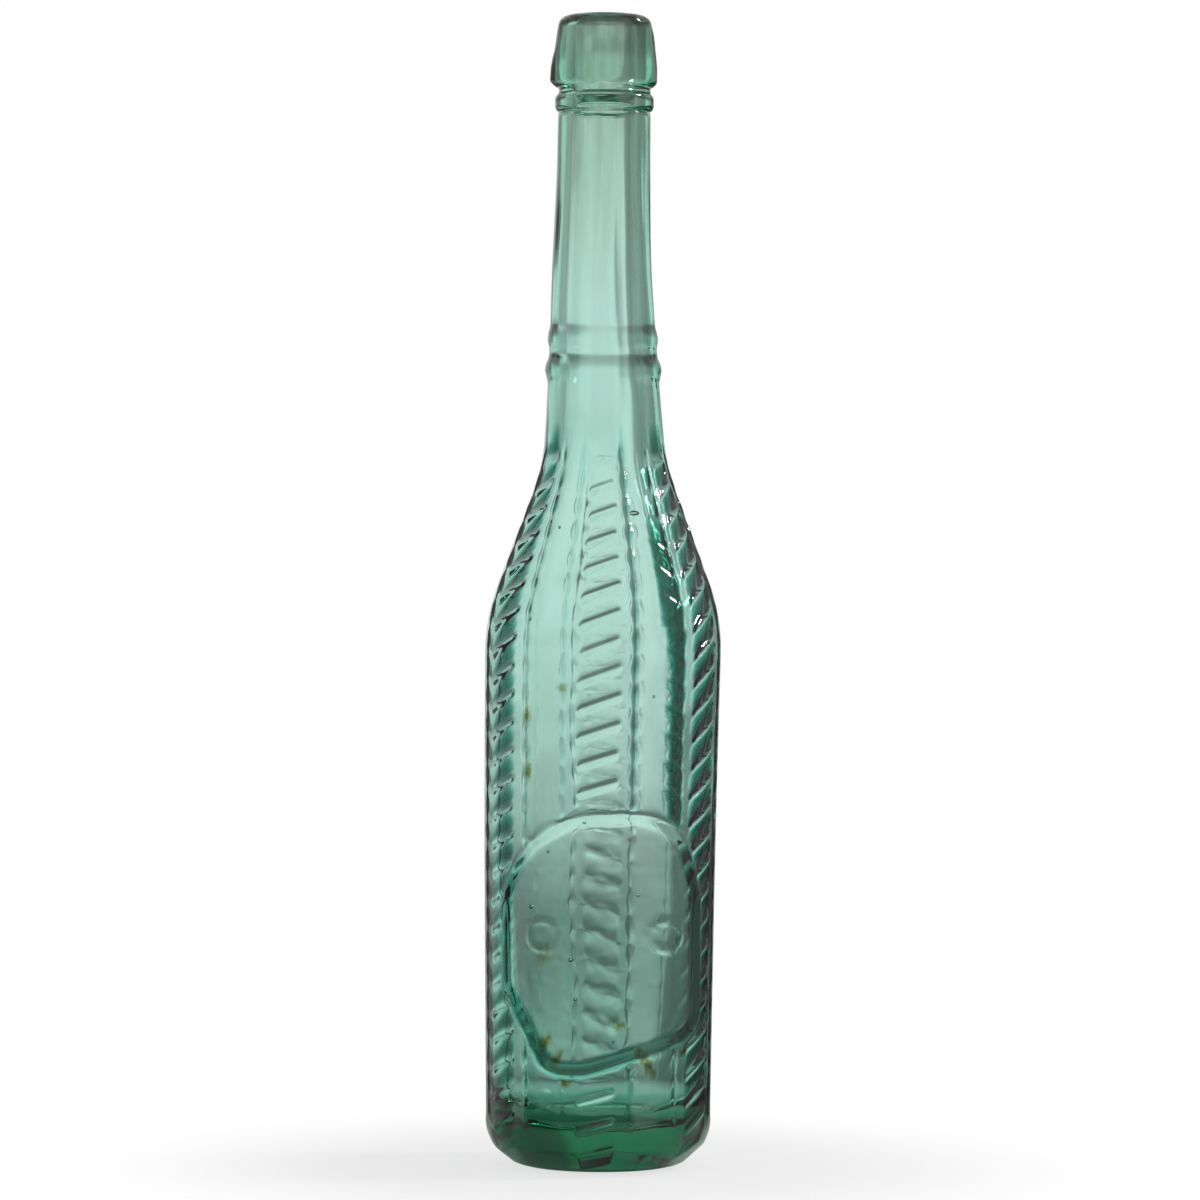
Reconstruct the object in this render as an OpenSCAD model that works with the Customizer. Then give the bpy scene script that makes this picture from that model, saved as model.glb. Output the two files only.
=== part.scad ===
// Antique mould-blown glass bottle with a long neck, an applied lip and a laid-on collar ring.
// Origin: centre of the resting ring on the underside. +Z up. The blank plate faces -Y.

/* [Body] */
// Diameter of the plain wall where the shoulder starts
body_d = 52.3; // [46:0.1:60]
// Diameter of the plain wall just above the heel
heel_d = 49.3; // [44:0.1:56]
// Height from the resting ring to the start of the shoulder
body_h = 116; // [90:1:150]
// Radius of the heel between base and wall
heel_round = 6.5; // [4:0.1:9]
// Thickness of the body wall
body_wall = 3.2; // [2.4:0.1:4.4]
// Thickness of the glass in the middle of the base
base_wall = 5.5; // [4:0.1:9]
// Radius inside the cavity between floor and wall
cavity_round = 8; // [5:0.1:10]
// Rise of the dished underside above the resting ring
dish_rise = 3; // [1.5:0.1:5]
// Width of the flat resting ring
rest_w = 2.6; // [2:0.1:4]

/* [Shoulder] */
// Height from the start of the shoulder to the foot of the neck
shoulder_h = 48.5; // [40:0.5:64]
// Radius of the convex curve of the shoulder
shoulder_round = 38; // [24:1:44]
// Radius of the concave curve into the neck
throat_round = 44; // [24:1:50]

/* [Neck] */
// Outer diameter at the foot of the neck
neck_foot_d = 26.2; // [23:0.1:32]
// Outer diameter under the lip
neck_top_d = 20.3; // [19.5:0.1:23]
// Height from the foot of the neck to the underside of the lip
neck_h = 73.7; // [60:0.5:100]
// Diameter of the straight bore of the mouth
bore_d = 12.4; // [10:0.1:13]
// Length of the straight bore, down from the top of the bottle
bore_h = 40; // [24:1:60]
// Diameter of the hollow at the foot of the neck
throat_d = 17; // [14:0.1:18]
// Height of the lower neck ring above the foot of the neck
low_ring_z = 11.3; // [8:0.1:14]
// Distance between the two neck rings
ring_gap = 6.8; // [5:0.1:12]
// How far the lower neck ring stands out
low_ring_rise = 0.75; // [0.4:0.05:1.2]
// How far the upper neck ring stands out
high_ring_rise = 0.45; // [0.3:0.05:1]
// Radius of the round section of the neck rings
ring_round = 1.9; // [1.4:0.1:2.4]

/* [Applied lip] */
// Height of the lip band
lip_h = 15.8; // [12:0.1:22]
// Largest diameter of the lip band
lip_d = 23.2; // [22:0.1:28]
// Diameter of the lip band near its top edge
lip_top_d = 20.9; // [20:0.1:24]
// Height of the largest diameter above the underside of the lip
lip_belly_z = 4.4; // [3:0.1:6]
// Radius of the lip's lower edge
lip_low_round = 1.5; // [0.8:0.1:2]
// Radius of the lip's top edge
lip_top_round = 2.2; // [1:0.1:3]
// Outer diameter of the sheared neck end inside the lip
spout_d = 17; // [15.4:0.1:18]
// Depth of the sheared end below the top of the lip
spout_drop = 0.6; // [0.2:0.1:2]
// Thickness of the run of glass on the side of the lip
drip_d = 4.4; // [3:0.1:6]
// Length of the run, from the underside of the lip up
drip_h = 8; // [5:0.1:12]
// How far the run stands out of the lip
drip_rise = 0.45; // [0.2:0.05:0.8]

/* [Collar ring] */
// Height of the collar ring
collar_h = 4.2; // [3:0.1:6]
// Outer diameter of the collar ring
collar_d = 21.9; // [21.2:0.1:25]
// Groove between collar ring and lip
collar_gap = 1.3; // [0.8:0.1:4]
// How deep the ring is bedded in the neck
collar_bed = 0.8; // [0.4:0.1:1.2]
// Radius of the ring's rounded edges
collar_round = 1.4; // [0.8:0.1:1.5]

/* [Rib columns] */
// Number of rib columns round the bottle
columns = 6; // [4:1:8]
// How far the whole pattern is turned on the bottle, in degrees
pattern_turn = -1.5; // [-10:0.5:10]
// Angle that the slanted ribs of a column span
rib_span = 25; // [16:1:28]
// Slant of the ribs, in degrees
rib_slant = 19.5; // [0:0.5:30]
// Width of one slanted rib
rib_w = 1.8; // [1.2:0.1:2.6]
// Distance from rib to rib along the wall
rib_pitch = 6.1; // [4.5:0.1:9]
// How far the ribs stand out of the wall
rib_rise = 0.45; // [0.3:0.05:0.8]
// Angle from the middle of a column to its border ridge
ridge_angle = 17.4; // [15:0.1:21]
// Width of a border ridge, as an angle
ridge_span = 2.6; // [1.6:0.1:4]
// How far the border ridges stand out of the wall
ridge_rise = 0.3; // [0.2:0.05:0.6]
// Height at which the border ridges start
ridge_foot_z = 12; // [9:0.5:20]

/* [Blank plate] */
// Width of the blank oval plate
plate_w = 41.2; // [30:0.2:44]
// Height of the blank oval plate
plate_h = 56.8; // [46:0.2:64]
// Height of the lowest point of the plate
plate_foot_z = 22.3; // [14:0.5:34]
// Width of the raised rim round the plate
rim_w = 1.3; // [0.8:0.1:2]
// How far the rim stands out of the wall
rim_rise = 0.5; // [0.3:0.05:0.8]
// Outer diameter of the two round pin marks
pin_d = 6.2; // [4:0.1:8]
// Width of the raised circle of a pin mark
pin_line = 0.6; // [0.4:0.1:1]
// Distance between the two pin marks
pin_gap = 27; // [22:0.5:29]
// Height of the pin marks above the foot of the plate
pin_z = 29.8; // [20:0.2:34]
// Distance of the pin marks' middle from the middle of the plate
pin_shift = 1.6; // [-2:0.1:2]

/* [Hidden] */
glass_aqua = [0.62, 0.82, 0.75, 0.75];
$fn = 96;
arc_step = 5;               // degrees between the points of a rounded profile corner
wall_step = 3.5;            // degrees between the points of the shoulder's large curves
rib_end_step = 60;          // degrees between the points of a rib's blunt end
bed = 1;                    // how deep the relief is rooted in the wall
reach = 30;                 // longer than the body's radius
skin_foot = -70;            // direction on the heel at which the relief skin starts
mouth_bevel = 1;            // how much wider the mouth is at its very edge
drip_turn = 188;            // where the run of glass sits round the lip, in degrees

body_r = body_d / 2;
heel_r = heel_d / 2;
foot_z = body_h + shoulder_h;
lip_z = foot_z + neck_h;
top_z = lip_z + lip_h;
collar_z = lip_z - collar_gap - collar_h;
neck_top_r = neck_top_d / 2;
flare = (neck_foot_d - neck_top_d) / 2;
flare_power = 1.75;
flare_h = collar_z - foot_z;
lean = atan((body_r - heel_r) / (body_h - heel_round));
foot_lean = atan(flare_power * flare / flare_h);

// Points of an arc round a centre, from one direction to another, both in degrees
function arc(centre, radius, from, to, step = arc_step) =
    let (steps = max(2, ceil(abs(to - from) / step)))
    [for (i = [0 : steps]) let (a = from + (to - from) * i / steps) centre + radius * [cos(a), sin(a)]];

// The wall of a neck that narrows from foot_r to top_r, between the heights foot_z and collar_z
function flare_r(z, foot_r, top_r) =
    top_r + (foot_r - top_r) * pow(max(0, collar_z - z) / flare_h, flare_power);

// Ogee of a shoulder: centres of its two circles and the steepest direction between them
function shoulder_low(r, z, round) = [r, z] - round * [cos(lean), -sin(lean)];
function shoulder_high(r, z, round) = [r, z] + round * [cos(foot_lean), sin(foot_lean)];
function slope_angle(low, high, rounds) = asin(rounds / norm(high - low)) - atan2(high[0] - low[0], high[1] - low[1]);

low_centre = shoulder_low(body_r, body_h, shoulder_round);
high_centre = shoulder_high(neck_foot_d / 2, foot_z, throat_round);
slope = slope_angle(low_centre, high_centre, shoulder_round + throat_round);
heel_centre = [heel_r - heel_round, heel_round];
rest_r = heel_r - heel_round;

// Outer wall from the heel to the foot of the neck, moved outwards by grow
function outer_wall(grow = 0, from = -90) = concat(
    arc(heel_centre, heel_round + grow, from, -lean),
    arc(low_centre, shoulder_round + grow, -lean, slope, wall_step),
    arc(high_centre, throat_round - grow, 180 + slope, 180 + foot_lean, wall_step));

// Points up one side of the neck, between two heights
function neck_wall(foot_r, top_r, steps = 9) =
    [for (i = [1 : steps]) let (z = foot_z + flare_h * i / steps) [flare_r(z, foot_r, top_r), z]];

// Lengths of the stretches of the outer wall, and the place and slope at a length along it
heel_len = heel_round * (90 - lean) * PI / 180;
wall_len = (body_h - heel_round) / cos(lean);
low_len = shoulder_round * (slope + lean) * PI / 180;
slope_start = low_centre + shoulder_round * [cos(slope), sin(slope)];
slope_end = high_centre - throat_round * [cos(slope), sin(slope)];
slope_len = norm(slope_end - slope_start);
high_len = throat_round * (slope - foot_lean) * PI / 180;
function turned(centre, radius, a) = concat(centre + radius * [cos(a), sin(a)], a);
function wall_place(s) =
    s < heel_len ? turned(heel_centre, heel_round, -90 + s / heel_round * 180 / PI) :
    s < heel_len + wall_len ?
        concat([heel_r, heel_round] + (s - heel_len) * [sin(lean), cos(lean)], -lean) :
    s < heel_len + wall_len + low_len ?
        turned(low_centre, shoulder_round, -lean + (s - heel_len - wall_len) / shoulder_round * 180 / PI) :
    s < heel_len + wall_len + low_len + slope_len ?
        concat(slope_start + (s - heel_len - wall_len - low_len) * [-sin(slope), cos(slope)], slope) :
        let (a = slope - (s - heel_len - wall_len - low_len - slope_len) / throat_round * 180 / PI)
        concat(high_centre - throat_round * [cos(a), sin(a)], a);

// The hollow: a rounded floor, the shoulder's ogee inside the wall, the neck and the straight bore
cavity_r = body_r - body_wall;
cavity_heel_r = heel_r - body_wall;
floor_z = dish_rise + base_wall;
cavity_low = shoulder_low(cavity_r, body_h, shoulder_round - body_wall);
cavity_high = shoulder_high(throat_d / 2, foot_z, throat_round);
cavity_slope = slope_angle(cavity_low, cavity_high, shoulder_round - body_wall + throat_round);
bore_z = top_z - bore_h;
module cavity_outline() {
    polygon(concat(
        [[0, floor_z]],
        arc([cavity_heel_r - cavity_round, floor_z + cavity_round], cavity_round, -90, -lean, 10),
        arc(cavity_low, shoulder_round - body_wall, -lean, cavity_slope, wall_step),
        arc(cavity_high, throat_round, 180 + cavity_slope, 180 + foot_lean, wall_step),
        [[bore_d / 2, bore_z], [bore_d / 2, top_z + 1], [0, top_z + 1]]));
}

// The sheared end of the neck, narrower than the neck below it
spout_z = lip_z + 0.6;
spout_top = top_z - spout_drop;
spout_round = 1;
function spout_wall() = concat(
    [[neck_top_r, collar_z + collar_h], [neck_top_r, spout_z], [spout_d / 2, spout_z]],
    arc([spout_d / 2 - spout_round, spout_top - spout_round], spout_round, 0, 90, 15),
    [[0, spout_top]]);

// The glass of the bottle up to its sheared end, with the bed of the collar ring cut into the neck
module bottle_outline() {
    polygon(concat(
        [[0, 0]],
        outer_wall(),
        neck_wall(neck_foot_d / 2, neck_top_r),
        [[neck_top_r - collar_bed, collar_z], [neck_top_r - collar_bed, collar_z + collar_h]],
        spout_wall()));
}

// One raised ring round the neck
module neck_ring(height, rise) {
    z = foot_z + height;
    translate([flare_r(z, neck_foot_d / 2, neck_top_r) + rise - ring_round, z]) circle(ring_round);
}

// The shallow dish of the underside, a part of a large ball
module dish() {
    dish_r = rest_r - rest_w;
    ball_r = (dish_r * dish_r + dish_rise * dish_rise) / (2 * dish_rise);
    translate([0, dish_rise - ball_r]) circle(ball_r, $fn = 360);
}

module plain_bottle() {
    rotate_extrude() difference() {
        union() {
            bottle_outline();
            neck_ring(low_ring_z, low_ring_rise);
            neck_ring(low_ring_z + ring_gap, high_ring_rise);
        }
        cavity_outline();
        dish();
        translate([-2 * reach, -reach]) square([2 * reach, top_z + 2 * reach]);
    }
}

// A skin over the body that stands out by rise and reaches into the glass by bed
module relief_skin(rise) {
    polygon(concat(outer_wall(rise, skin_foot), reverse(outer_wall(-bed, skin_foot))));
}
function reverse(list) = [for (i = [len(list) - 1 : -1 : 0]) list[i]];

// One slanted rib with blunt round ends, standing on the wall at the place p = [r, z, slope]
module rib(p) {
    half = p[0] * sin(rib_span / 2) / cos(rib_slant) - rib_w / 2;
    translate([p[0], 0, p[1]]) rotate([0, 90 - p[2], 0]) rotate([0, 0, 90 + rib_slant])
        translate([0, 0, -2 * bed]) linear_extrude(3 * bed)
            polygon(concat(
                arc([half, 0], rib_w / 2, -90, 90, rib_end_step),
                arc([-half, 0], rib_w / 2, 90, 270, rib_end_step)));
}

// All ribs of one column, from the heel to the throat
pattern_len = heel_len + wall_len + low_len + slope_len + high_len - rib_pitch / 2;
module rib_column() {
    for (s = [heel_len * 0.7 : rib_pitch : pattern_len]) rib(wall_place(s));
}

// A border ridge follows the wall up the body and over the shoulder
module ridge(angle) {
    rotate([0, 0, angle - ridge_span / 2]) rotate_extrude(angle = ridge_span) intersection() {
        relief_skin(ridge_rise);
        translate([0, ridge_foot_z]) square([2 * reach, foot_z]);
    }
}

// Outline of the blank plate, a wide crown over two smaller lobes, drawn as seen from the front
crown_r = plate_w / 2;
module plate_outline() {
    crown_z = plate_foot_z + plate_h - crown_r;
    hull() {
        translate([0, crown_z]) circle(crown_r, $fn = 64);
        translate([crown_r - 8.2, plate_foot_z + 13.2]) circle(7.6, $fn = 32);
        translate([8 - crown_r * 0.7, plate_foot_z + 8]) circle(8, $fn = 32);
        translate([6.5 - crown_r, plate_foot_z + 15]) circle(6.5, $fn = 32);
    }
}

// The front half of space behind a drawing
module through_front(angle) {
    rotate([0, 0, angle]) rotate([90, 0, 0]) linear_extrude(reach) children();
}

// Rim of the plate and its two pin marks
module plate_relief() {
    difference() {
        plate_outline();
        offset(-rim_w) plate_outline();
    }
    for (side = [-1, 1]) translate([pin_shift + side * pin_gap / 2, plate_foot_z + pin_z]) difference() {
        circle(d = pin_d, $fn = 48);
        circle(d = pin_d - 2 * pin_line, $fn = 48);
    }
}

// The whole relief of the body: columns of ribs between ridges, left out under the plate
module body_relief() {
    difference() {
        for (i = [0 : columns - 1]) rotate([0, 0, -90 + pattern_turn + 360 / columns * i]) {
            intersection() {
                rotate_extrude() relief_skin(rib_rise);
                rib_column();
            }
            for (side = [-1, 1]) ridge(side * ridge_angle);
        }
        through_front(pattern_turn) plate_outline();
    }
    intersection() {
        rotate_extrude() relief_skin(rim_rise);
        through_front(pattern_turn) plate_relief();
    }
}

module blown_bottle() {
    color(glass_aqua) {
        plain_bottle();
        body_relief();
    }
}

// The lip band, laid round the sheared neck end and over its edge as far as the bore
module lip_outline() {
    belly_r = lip_d / 2;
    top_r = lip_top_d / 2;
    polygon(concat(
        [[bore_d / 2, lip_z]],
        arc([belly_r - lip_low_round, lip_z + lip_low_round], lip_low_round, -90, 0, 15),
        [[belly_r, lip_z + lip_belly_z]],
        arc([top_r - lip_top_round, top_z - lip_top_round], lip_top_round, 6, 90, 12),
        [[bore_d / 2 + mouth_bevel, top_z], [bore_d / 2, spout_top]]));
}

// An upright run of glass with a round foot that thins out upwards
module drip() {
    foot = drip_d / 2;
    translate([lip_d / 2 + drip_rise - foot, 0, lip_z + 0.4]) rotate_extrude($fn = 48)
        polygon(concat([[0, 0]], arc([0, foot], foot, -75, 10, 17), [[0.5, drip_h], [0, drip_h]]));
}

module applied_lip() {
    color(glass_aqua) difference() {
        union() {
            rotate_extrude() lip_outline();
            rotate([0, 0, drip_turn]) drip();
        }
        rotate_extrude() polygon(concat([[0, collar_z + collar_h]], spout_wall()));
    }
}

// The collar ring, a string of glass laid round the neck in its bed
module collar_ring() {
    bed_r = neck_top_r - collar_bed;
    edge_r = collar_d / 2 - collar_round;
    color(glass_aqua) rotate_extrude() polygon(concat(
        [[bed_r, collar_z]],
        arc([edge_r, collar_z + collar_round], collar_round, -90, 0, 15),
        arc([edge_r, collar_z + collar_h - collar_round], collar_round, 0, 90, 15),
        [[bed_r, collar_z + collar_h]]));
}

blown_bottle();
applied_lip();
collar_ring();
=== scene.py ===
"""A mould-blown aqua glass bottle with a laid-on collar and an applied lip, lit on a pale floor."""
import math
import random

import bmesh
import bpy
from mathutils import Matrix, Vector, noise

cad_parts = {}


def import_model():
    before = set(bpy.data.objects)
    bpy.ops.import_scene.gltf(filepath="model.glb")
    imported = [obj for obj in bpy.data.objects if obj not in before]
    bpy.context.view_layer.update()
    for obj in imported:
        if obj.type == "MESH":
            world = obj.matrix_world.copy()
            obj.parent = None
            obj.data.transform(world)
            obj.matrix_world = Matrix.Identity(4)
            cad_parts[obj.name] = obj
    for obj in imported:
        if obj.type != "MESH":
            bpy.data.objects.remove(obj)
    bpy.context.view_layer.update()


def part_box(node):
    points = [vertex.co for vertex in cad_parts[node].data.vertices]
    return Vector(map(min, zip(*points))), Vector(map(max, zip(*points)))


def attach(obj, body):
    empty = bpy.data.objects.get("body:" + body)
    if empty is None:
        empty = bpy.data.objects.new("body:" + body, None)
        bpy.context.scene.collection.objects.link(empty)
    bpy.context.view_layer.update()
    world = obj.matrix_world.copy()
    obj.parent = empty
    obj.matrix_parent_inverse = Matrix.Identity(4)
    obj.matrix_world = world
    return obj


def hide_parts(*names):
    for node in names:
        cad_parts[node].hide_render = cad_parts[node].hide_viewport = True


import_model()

# ---------------------------------------------------------------- sizes, in millimetres
MM = 0.001
lip_low, lip_high = [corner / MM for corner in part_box("applied_lip")]
collar_low, collar_high = [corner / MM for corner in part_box("collar_ring")]

TOP_Z = lip_high.z
LIP_Z = lip_low.z
COLLAR_Z = collar_low.z
COLLAR_TOP_Z = collar_high.z
COLLAR_R = collar_high.x

# body and base
BODY_R = 26.25
HEEL_R = 24.9
BODY_H = 113
HEEL_ROUND = 10.3
REST_W = 2.6
REST_EASE = 0.7
REST_EDGE = 0.6
REST_LIFT = 0.02
DISH_RISE = 1.6
BASE_WALL = 7.5
CAVITY_ROUND = 9
BODY_WALL = 3.5
LOW_WALL = 5.5
HEAVY_Z = 26
THIN_Z = 84

# shoulder and neck
SHOULDER_H = 48.7
SHOULDER_ROUND = 43
THROAT_ROUND = 45
NECK_FOOT_R = 13.1
NECK_TOP_R = 10.25
FLARE_POWER = 1.75
BORE_R = 6.8
BORE_H = 32
THROAT_R = 9.3
LOW_RING_Z = 14.1
RING_GAP = 6.8
LOW_RING_RISE = 0.75
HIGH_RING_RISE = 0.45
RING_HALF = 2.6
RING_BELOW = 0.9
RING_ABOVE = 1.3
RING_WORN = 0.72

# collar, neck end and lip; fused faces stand a hair apart
COLLAR_BED = 0.8
COLLAR_ROUND = 1.4
SEAT_GAP = 0.02
BED_GAP = 0.01
GROOVE = 0.12
SPOUT_R = 8.5
SPOUT_Z = LIP_Z + 0.6
SPOUT_TOP = TOP_Z - 0.6
SPOUT_BEVEL = 1
SPOUT_GAP = 0.05
LIP_BELLY_R = 11.6
LIP_LOW_ROUND = 1.5
LIP_TOP_R = 10.45
LIP_TOP_ROUND = 2.2
LIP_TOP_LEAN = math.radians(6)
BELLY_POINTS = ((0.02, 3), (0.01, 4.4))
BELLY_H = 6.4
BELLY_EASE = 0.15
TAPER_W = 0.9
TAPER_H = 7
MOUTH_FLAT = 1
MOUTH_EASE_W = 0.3
MOUTH_EASE_H = 0.2
DRIP_TURN = math.radians(188)
DRIP_RISE = 0.5
DRIP_HALF_W = 2.6
DRIP_H = 8.5

# six columns of slanted ribs, numbered round from the front one over the right one
COLUMNS = 6
FRONT_COLUMN = 0
RIGHT_COLUMN = 1
BACK_COLUMN = 3
LEFT_COLUMN = 5
PATTERN_TURN = math.radians(-1.5)
COLUMN_STRENGTH = (1.0, 0.8, 0.0, 1.0, 0.0, 0.7)
COLUMN_SCALLOP = (0.12, 1.0, 0.0, 0.0, 0.0, 0.6)
# how much shade is painted in each column's hollows
COLUMN_SHADE = (0.0, 0.62, 0.0, 0.0, 0.0, 0.7)
COLUMN_RIDGE = (1.0, 1.0, 0.3, 1.0, 0.3, 1.0)
COLUMN_SLANT = [math.radians(angle) for angle in (0, 11, 0, 0, 0, 4)]
COLUMN_SHIFT = [math.radians(angle) for angle in (0, 0, 0, 0, 0, 4.4)]
SHIFT_EDGE = math.radians(21)
TOP_FADE = 9

# ribs
RIB_FOOT = 10.6
RIB_PITCH = 6.1
RIB_HALF_SPAN = math.radians(11)
LOW_SLANT = math.radians(16)
HIGH_SLANT = math.radians(21)
STEEPER_FROM = 80
STEEPER_TO = 125
RIB_RISE = 0.38
RIB_UP_W = 1.15
RIB_DOWN_W = 0.7
RIB_END_W = 0.8
RIB_FLAT = 1.5
TOP_RIBS = 5
TOP_RIB_RISE = 0.35
TOP_RIB_STEP = 0.15
BOLD_RIBS = (1, 2)
BOLD_RISE = 1.8

# the back column, worn to wide faint humps
BACK_RISE = 0.05
BACK_LOW_RISE = 0.22
BACK_LOW_Z = 70
BACK_HIGH_Z = 92
BACK_HALF_W = 2.6
BACK_END_W = 2
BACK_EVEN = 0.75

# lens-shaped hollows between the ribs of the side columns; on the left only their lower right gets painted
# shade
SCALLOP_DEPTH = 0.42
SCALLOP_HALF_W = 2.2
SCALLOP_DROP = 0.03
SCALLOP_REACH = 0.5
LENS_FULL = 0.55
LENS_TAPER = 0.36
LENS_FLAT = 1.8
LENS_END = 0.5
LOW_LENS = 0.55
HIGH_LENS = 0.45
LENS_LOW_Z = 108
LENS_HIGH_Z = 128
LEFT_LENS_TURN = math.radians(2.6)
LEFT_LENS_SPAN = 1.22
LEFT_SHADE_SLANT = 1.6
LEFT_SHADE_EDGE = (-4.2, -0.6)

# beaded border ridges
RIDGE_ANGLE = math.radians(17.4)
RIDGE_HALF_W = 0.85
RIDGE_RISE = 0.42
RIDGE_START_Z = 10.5
RIDGE_FOOT_Z = 12.1
RIDGE_EVEN = 0.85
BEAD_LOW = 0.45
BEAD_HIGH = 0.55
BEAD_W = 0.55
BEAD_DRIFT = 4
FRONT_RIGHT_RIDGE = 1.7
FRONT_LEFT_RIDGE = 0.5
# how much darker the glass is coloured along the front column's ridges
RIDGE_DARKER = 0.15

# the streak of painted shade, with a faint ripple, in the flute between the front and the right column: its
# angles are in degrees, and between the heights of each pair it begins, grows wider and ends
STREAK_TURN = -20
STREAK_HALF = 4.6
STREAK_WIDER = 2
STREAK_RISE = 0.12
STREAK_PITCH = 3.05
STREAK_SLANT = 0.35
STREAK_EDGE = 0.6
STREAK_SOFT = (1.4, 0.6)
STREAK_Z = (26, 34)
STREAK_WIDE_Z = (112, 124)
STREAK_TOP_Z = (134, 146)

# flutes between the columns, and the heel coloured darker towards the bottom
FLUTE_DEPTH = 0.12
FLUTE_FOOT_Z = 9.5
FLUTE_FOOT_H = 4
FLUTE_FOOT_ROUND = 5
FLUTE_MARGIN = math.radians(1.6)
FLUTE_FADE = 20
HEEL_DARKER = 0.25
HEEL_DARKER_Z = 4
HEEL_DARKER_H = 9

# blank plate with its rim and pin marks, and painted shade round its sides and foot
PLATE_W = 43.4
PLATE_H = 57.6
PLATE_FOOT_Z = 21.5
PLATE_SHIFT = 0.7
PLATE_SINK = 0.7
PLATE_SLOPE_W = 2.2
PLATE_CLEAR = 1.2
PLATE_MARGIN = 4
# painted shade in a band round the plate, left off where its outline faces up
PLATE_SHADE = 0.6
PLATE_SHADE_W = 2.1
PLATE_LOWER = (0.1, 0.6)
PLATE_SKIN_EDGE = (-3, -1)
PLATE_EDGE_ON = 0.3
PLATE_FACING = (0.45, 0.8)
PLATE_SIDE_SHARE = 0.35
PLATE_FRONT_SHARE = 0.65
RIM_W = 1.5
RIM_HALF_W = 0.93
RIM_RISE = 0.28
PIN_R = 3.2
PIN_LINE = 0.75
PIN_RISE = 0.3
PIN_GAP = 27.4
PIN_Z = 30.4
PIN_SHIFT = 0.9
RIGHT_PIN = 1.2
LEFT_PIN = 0.45

# rows and columns of the mesh
COLUMN_SPREAD = ((8, 4), (12.4, 5), (15.3, 2), (19.5, 6), (30, 4))
ROW_STOPS = (-0.7, -0.4, -0.1, 0.25, 0.6, 1.0, 1.5, 2.3, 3.4, 4.5)
HEEL_ROWS = (0.0, 1.6, 3.2, 4.6)
SLIDE_FOOT = 1.5
SLIDE_FADE = 12
RING_ROW = 0.55
NECK_ROW = 2.2
BAND_STEPS = 144
MERGE_GAP = 0.004
PLAIN_WALL = -1.0
HOLLOW_WALL = -2.0


# ---------------------------------------------------------------- curves
def polar(centre, radius, angle):
    return centre[0] + radius * math.cos(angle), centre[1] + radius * math.sin(angle)


def arc(centre, radius, start, stop, steps):
    return [polar(centre, radius, start + (stop - start) * i / steps) for i in range(steps + 1)]


def line(start, stop, steps):
    """Points on a straight line, without its two ends."""
    return [tuple(a + (b - a) * i / steps for a, b in zip(start, stop)) for i in range(1, steps)]


def hump(distance, half_width):
    """A soft round hump, one high at the middle and nought past its half width."""
    share = min(1, abs(distance) / half_width)
    return (1 - share * share) ** 2


def fade(value, start, stop):
    """Nought at start, one at stop, smooth between."""
    share = min(1, max(0, (value - start) / (stop - start)))
    return share * share * (3 - 2 * share)


class Swell:
    """Unevenness of hand-worked glass: how high it rises, and the size of its waves both ways."""

    def __init__(self, rise, long, wide=1):
        self.rise = rise
        self.long = long
        self.wide = wide

    def at(self, along, across, own):
        return self.rise * noise.noise(Vector((along / self.long, across / self.wide, own)))


BACK_WEAR = Swell(0.9, 2.3, 2.0)
BACK_GRAIN = Swell(0.085, 0.9, 1.4)
RIDGE_WANDER = Swell(0.22, 4.5)
RIDGE_WEAR = Swell(0.3, 2.2)
STREAK_WANDER = Swell(0.9, 3.2)
PLATE_SKIN = Swell(0.03, 2.1, 1.7)

# ---------------------------------------------------------------- the wall's outline
foot_z = BODY_H + SHOULDER_H
flare_h = COLLAR_Z - foot_z
lean = math.atan((BODY_R - HEEL_R) / (BODY_H - HEEL_ROUND))
foot_lean = math.atan(FLARE_POWER * (NECK_FOOT_R - NECK_TOP_R) / flare_h)
floor_z = DISH_RISE + BASE_WALL
rest_r = HEEL_R - HEEL_ROUND
bore_z = TOP_Z - BORE_H


class Ogee:
    """The shoulder: a convex circle off the body, a straight slope and a concave circle into the neck."""

    def __init__(self, low_r, low_round, high_r, high_round):
        self.low = (low_r - low_round * math.cos(lean), BODY_H + low_round * math.sin(lean))
        self.high = (high_r + high_round * math.cos(foot_lean), foot_z + high_round * math.sin(foot_lean))
        across, up = self.high[0] - self.low[0], self.high[1] - self.low[1]
        self.slope = math.asin((low_round + high_round) / math.hypot(across, up)) - math.atan2(across, up)
        self.start = polar(self.low, low_round, self.slope)
        self.end = polar(self.high, high_round, math.pi + self.slope)


outside = Ogee(BODY_R, SHOULDER_ROUND, NECK_FOOT_R, THROAT_ROUND)
inside = Ogee(BODY_R - BODY_WALL, SHOULDER_ROUND - BODY_WALL, THROAT_R, THROAT_ROUND)

heel_len = HEEL_ROUND * (math.pi / 2 - lean)
wall_len = (BODY_H - HEEL_ROUND) / math.cos(lean)
low_len = SHOULDER_ROUND * (outside.slope + lean)
slope_len = math.dist(outside.start, outside.end)
high_len = THROAT_ROUND * (outside.slope - foot_lean)
body_len = heel_len + wall_len + low_len + slope_len + high_len
rib_count = int((body_len - RIB_PITCH / 2 - RIB_FOOT) / RIB_PITCH) + 1


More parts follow.
